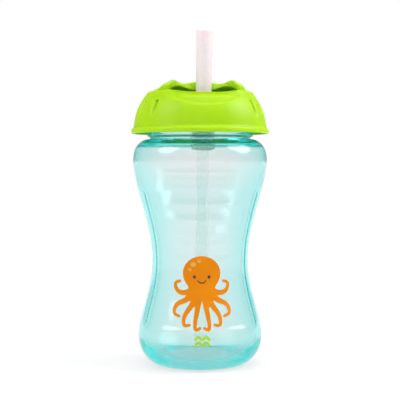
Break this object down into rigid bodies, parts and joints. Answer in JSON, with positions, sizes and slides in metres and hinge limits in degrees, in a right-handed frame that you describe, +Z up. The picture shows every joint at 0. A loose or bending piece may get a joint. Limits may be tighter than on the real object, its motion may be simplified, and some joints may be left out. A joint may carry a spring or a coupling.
{
  "type": "sippy cup",
  "caption": "Waisted translucent toddler bottle with a screw-on collar, a turning domed cover and a soft folding drinking straw.",
  "frame": {"origin": "middle of the bottle's base, on the plane it stands on", "axes": "+Z up along the bottle's axis, -Y towards the drinker (the window and the straw), +X to the right seen from the front"},
  "size_m": [0.0758, 0.0758, 0.1817],
  "materials": {
    "aqua_plastic": "gloss, tinted and see-through",
    "lime_plastic": "satin gloss",
    "white_silicone": "satin, milky silicone",
    "clear_silicone": "satin, cloudy silicone",
    "milky_plastic": "satin, milky and see-through"
  },
  "bodies": {
    "bottle": {"bottle": "aqua_plastic"},
    "seal": {"lid_seal": "clear_silicone"},
    "lid": {"lid_collar": "lime_plastic", "spout_plug": "white_silicone", "slit_valve": "clear_silicone", "straw_socket": "milky_plastic", "dip_straw": "milky_plastic", "vent_valve": "clear_silicone"},
    "cover": {"turning_cover": "lime_plastic"},
    "spout": {"spout_tube": "white_silicone", "spout_neck": "white_silicone"}
  },
  "joints": [
    {"name": "lid_rise", "type": "slide", "parent": "bottle", "child": "seal", "axis": [0, 0, 1], "range_m": [0, 0.0091]},
    {"name": "lid_turn", "type": "hinge", "parent": "seal", "child": "lid", "pos_m": [0, 0, 0.1387], "axis": [0, 0, 1], "range_deg": [0, 810]},
    {"name": "cover_twist", "type": "hinge", "parent": "lid", "child": "cover", "pos_m": [0, 0, 0.1432], "axis": [0, 0, 1], "range_deg": [0, 90]},
    {"name": "straw_fold", "type": "hinge", "parent": "lid", "child": "spout", "pos_m": [0, -0.0166, 0.1452], "axis": [-1, 0, 0], "range_deg": [0, 96.5], "deforming": ["spout_tube", "spout_neck"]}
  ],
  "couplings": [
    {"joint": "lid_rise", "follows": "lid_turn", "m_per_rad": 0.00063662},
    {"joint": "straw_fold", "follows": "cover_twist", "ratio": 1.071}
  ]
}
